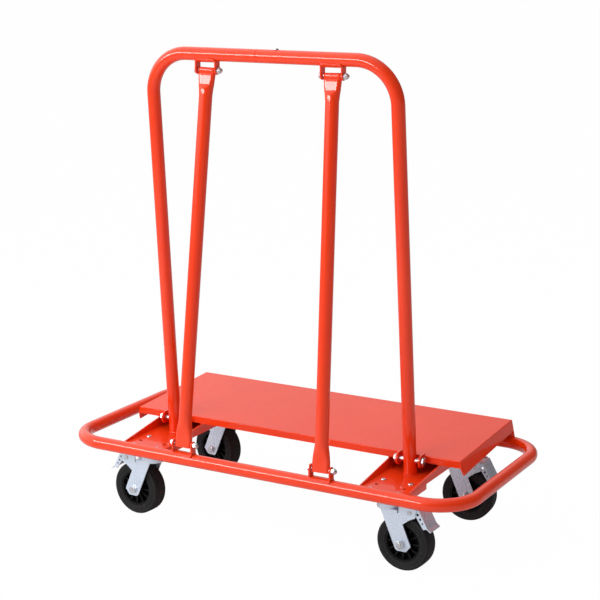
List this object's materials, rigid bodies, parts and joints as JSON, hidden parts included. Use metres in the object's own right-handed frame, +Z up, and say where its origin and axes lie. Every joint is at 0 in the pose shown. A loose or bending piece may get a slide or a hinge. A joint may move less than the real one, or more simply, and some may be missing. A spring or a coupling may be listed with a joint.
{
  "type": "drywall cart",
  "caption": "Drywall cart: low sheet-metal deck in a tubular bumper ring on braked swivel casters, with an upright tube frame and two braces that sheets lean against.",
  "frame": {"origin": "on the floor under the centre of the bumper ring", "axes": "+X along the length, -Y towards the side with the braces, +Y towards the deck, +Z up"},
  "size_m": [1.046, 0.514, 1.116],
  "materials": {
    "red_enamel": "glossy orange-red powder coat",
    "zinc_plate": "bright zinc plate",
    "bright_steel": "bright plated steel",
    "tyre_rubber": "matte black rubber",
    "black_plastic": "black moulded plastic",
    "spring_steel": "oiled spring steel"
  },
  "bodies": {
    "cart_frame": {"bumper_ring": "red_enamel", "deck": "red_enamel", "cross_channel_left": "red_enamel", "cross_channel_right": "red_enamel", "caster_pads": "red_enamel", "upright_left": "red_enamel", "upright_right": "red_enamel", "upright_sleeve": "bright_steel", "upright_joint_screw": "bright_steel", "leg_ears": "red_enamel", "leg_bolts": "bright_steel", "leg_nuts": "bright_steel", "brace_left": "red_enamel", "brace_right": "red_enamel", "upper_clevises": "red_enamel", "lower_clevises": "red_enamel", "brace_bolts": "bright_steel", "brace_dome_nuts": "bright_steel", "caster_plates": "zinc_plate", "kingpins": "bright_steel", "swivel_balls": "bright_steel", "caster_bolts": "bright_steel", "caster_nuts": "bright_steel"},
    "fork_front_left_body": {"fork_front_left": "zinc_plate", "axle_bolt_front_left": "bright_steel", "axle_nut_front_left": "bright_steel", "axle_sleeve_front_left": "bright_steel", "pedal_pin_front_left": "bright_steel"},
    "wheel_front_left_body": {"tyre_front_left": "tyre_rubber", "rim_front_left": "black_plastic"},
    "pedal_front_left_body": {"brake_pedal_front_left": "zinc_plate", "pedal_spring_front_left": "spring_steel"},
    "fork_front_right_body": {"fork_front_right": "zinc_plate", "axle_bolt_front_right": "bright_steel", "axle_nut_front_right": "bright_steel", "axle_sleeve_front_right": "bright_steel", "pedal_pin_front_right": "bright_steel"},
    "wheel_front_right_body": {"tyre_front_right": "tyre_rubber", "rim_front_right": "black_plastic"},
    "pedal_front_right_body": {"brake_pedal_front_right": "zinc_plate", "pedal_spring_front_right": "spring_steel"},
    "fork_back_left_body": {"fork_back_left": "zinc_plate", "axle_bolt_back_left": "bright_steel", "axle_nut_back_left": "bright_steel", "axle_sleeve_back_left": "bright_steel", "pedal_pin_back_left": "bright_steel"},
    "wheel_back_left_body": {"tyre_back_left": "tyre_rubber", "rim_back_left": "black_plastic"},
    "pedal_back_left_body": {"brake_pedal_back_left": "zinc_plate", "pedal_spring_back_left": "spring_steel"},
    "fork_back_right_body": {"fork_back_right": "zinc_plate", "axle_bolt_back_right": "bright_steel", "axle_nut_back_right": "bright_steel", "axle_sleeve_back_right": "bright_steel", "pedal_pin_back_right": "bright_steel"},
    "wheel_back_right_body": {"tyre_back_right": "tyre_rubber", "rim_back_right": "black_plastic"},
    "pedal_back_right_body": {"brake_pedal_back_right": "zinc_plate", "pedal_spring_back_right": "spring_steel"}
  },
  "joints": [
    {"name": "swivel_front_left", "type": "hinge", "parent": "cart_frame", "child": "fork_front_left_body", "pos_m": [-0.314, -0.1726, 0.1505], "axis": [0, 0, 1], "continuous": true},
    {"name": "wheel_spin_front_left", "type": "hinge", "parent": "fork_front_left_body", "child": "wheel_front_left_body", "pos_m": [-0.3544, -0.16978, 0.0635], "axis": [-0.0698, -0.9976, 0], "continuous": true},
    {"name": "brake_pedal_front_left", "type": "hinge", "parent": "fork_front_left_body", "child": "pedal_front_left_body", "pos_m": [-0.37385, -0.16842, 0.139], "axis": [-0.0698, -0.9976, 0], "range_deg": [0, 11], "stiffness_Nm_per_rad": 1.5},
    {"name": "swivel_front_right", "type": "hinge", "parent": "cart_frame", "child": "fork_front_right_body", "pos_m": [0.314, -0.1726, 0.1505], "axis": [0, 0, 1], "continuous": true},
    {"name": "wheel_spin_front_right", "type": "hinge", "parent": "fork_front_right_body", "child": "wheel_front_right_body", "pos_m": [0.35449, -0.17366, 0.0635], "axis": [0.0262, 0.9997, 0], "continuous": true},
    {"name": "brake_pedal_front_right", "type": "hinge", "parent": "fork_front_right_body", "child": "pedal_front_right_body", "pos_m": [0.37398, -0.17417, 0.139], "axis": [0.0262, 0.9997, 0], "range_deg": [0, 11], "stiffness_Nm_per_rad": 1.5},
    {"name": "swivel_back_left", "type": "hinge", "parent": "cart_frame", "child": "fork_back_left_body", "pos_m": [-0.314, 0.1726, 0.1505], "axis": [0, 0, 1], "continuous": true},
    {"name": "wheel_spin_back_left", "type": "hinge", "parent": "fork_back_left_body", "child": "wheel_back_left_body", "pos_m": [-0.35391, 0.17949, 0.0635], "axis": [-0.1702, -0.9854, 0], "continuous": true},
    {"name": "brake_pedal_back_left", "type": "hinge", "parent": "fork_back_left_body", "child": "pedal_back_left_body", "pos_m": [-0.37312, 0.18281, 0.139], "axis": [-0.1702, -0.9854, 0], "range_deg": [0, 11], "stiffness_Nm_per_rad": 1.5},
    {"name": "swivel_back_right", "type": "hinge", "parent": "cart_frame", "child": "fork_back_right_body", "pos_m": [0.314, 0.1726, 0.1505], "axis": [0, 0, 1], "continuous": true},
    {"name": "wheel_spin_back_right", "type": "hinge", "parent": "fork_back_right_body", "child": "wheel_back_right_body", "pos_m": [0.35442, 0.17514, 0.0635], "axis": [-0.0628, 0.998, 0], "continuous": true},
    {"name": "brake_pedal_back_right", "type": "hinge", "parent": "fork_back_right_body", "child": "pedal_back_right_body", "pos_m": [0.37388, 0.17637, 0.139], "axis": [-0.0628, 0.998, 0], "range_deg": [0, 11], "stiffness_Nm_per_rad": 1.5}
  ]
}
